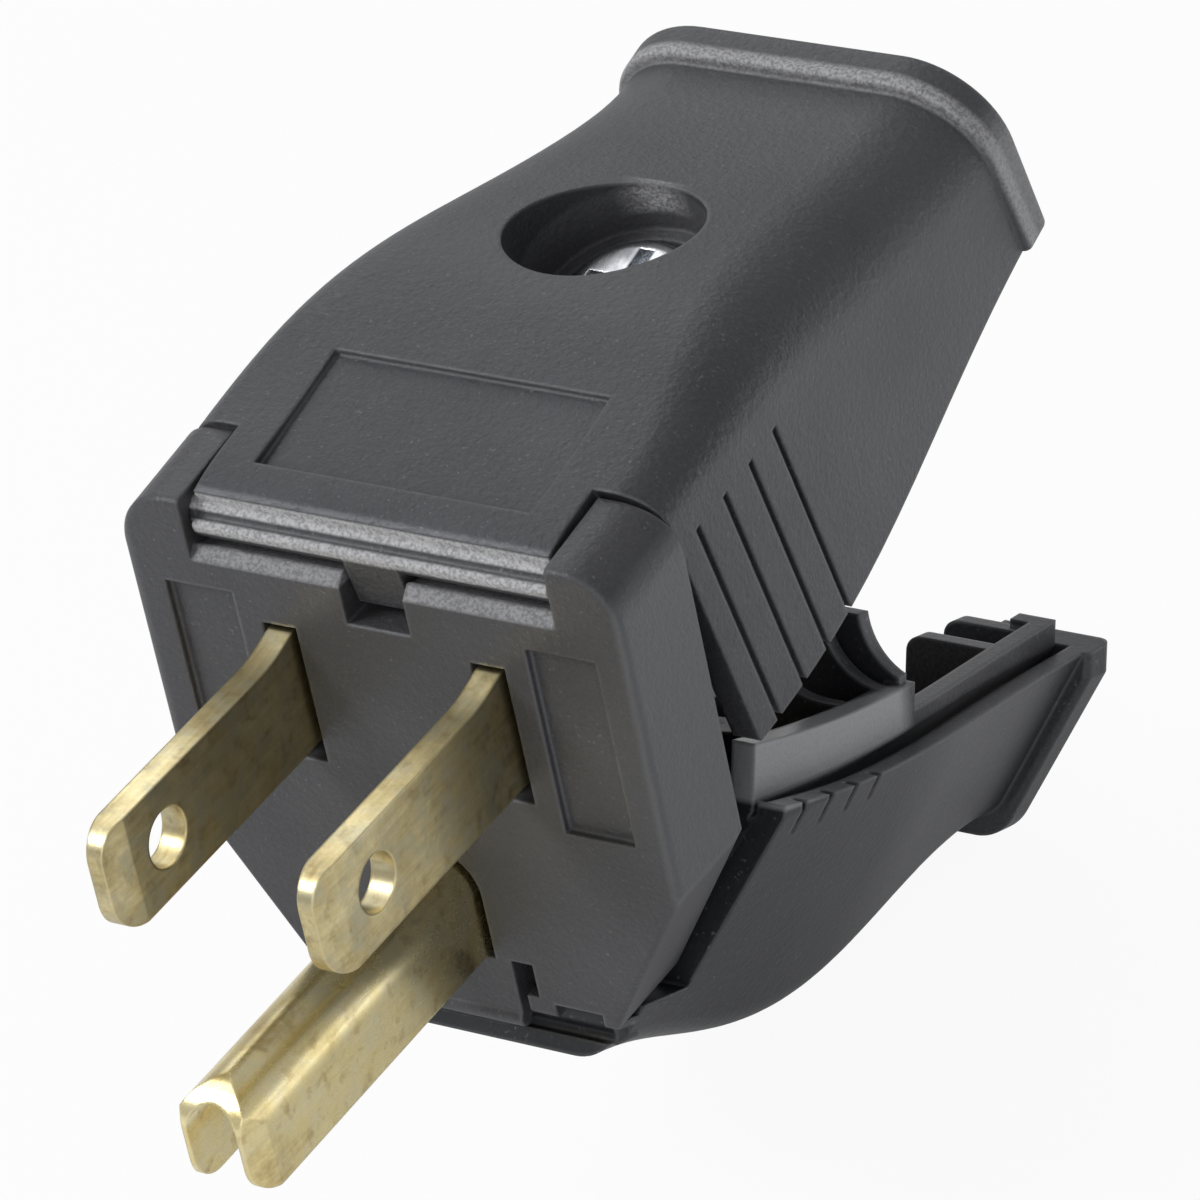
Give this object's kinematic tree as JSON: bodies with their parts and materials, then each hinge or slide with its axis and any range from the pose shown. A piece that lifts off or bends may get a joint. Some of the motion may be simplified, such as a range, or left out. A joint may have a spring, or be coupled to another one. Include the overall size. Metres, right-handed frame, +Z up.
{
  "type": "grounded plug",
  "caption": "Rewirable grounded plug with flat blades, a folded ground pin and hinged covers that swing open for wiring and close on the cord with a screw.",
  "frame": {"origin": "on the face plane of the plug, midway between the flat blades", "axes": "+Y back into the body, so the blades point along -Y; +Z up, towards the upper cover; +X along the row of blades"},
  "size_m": [0.0304, 0.0698, 0.0497],
  "materials": {
    "cover_plastic": "fine spark texture",
    "insulator_plastic": "smooth",
    "blade_brass": "rolled, slightly tarnished",
    "clamp_brass": "stamped",
    "zinc_steel": "zinc plated"
  },
  "bodies": {
    "base": {"face_block": "cover_plastic", "terminal_body": "insulator_plastic", "line_blade": "blade_brass", "neutral_blade": "blade_brass", "ground_pin": "blade_brass", "line_clamp": "clamp_brass", "neutral_clamp": "clamp_brass", "ground_clamp": "clamp_brass", "line_screw": "zinc_steel", "neutral_screw": "zinc_steel", "ground_screw": "zinc_steel"},
    "upper": {"upper_cover": "cover_plastic", "screw_retainer": "zinc_steel"},
    "screw": {"clamp_screw": "zinc_steel"},
    "lower": {"lower_cover": "cover_plastic", "clamp_nut": "zinc_steel"}
  },
  "joints": [
    {"name": "upper_hinge", "type": "hinge", "parent": "base", "child": "upper", "pos_m": [0, 0.0018, 0.0093], "axis": [1, 0, 0], "range_deg": [-12, 30]},
    {"name": "lower_hinge", "type": "hinge", "parent": "base", "child": "lower", "pos_m": [0, 0.0026, -0.0192], "axis": [-1, 0, 0], "range_deg": [-21.3, 6]},
    {"name": "clamp_screw_turn", "type": "hinge", "parent": "upper", "child": "screw", "pos_m": [0, 0.02662, 0.00701], "axis": [0, -0.2079, 0.9781], "continuous": true}
  ]
}
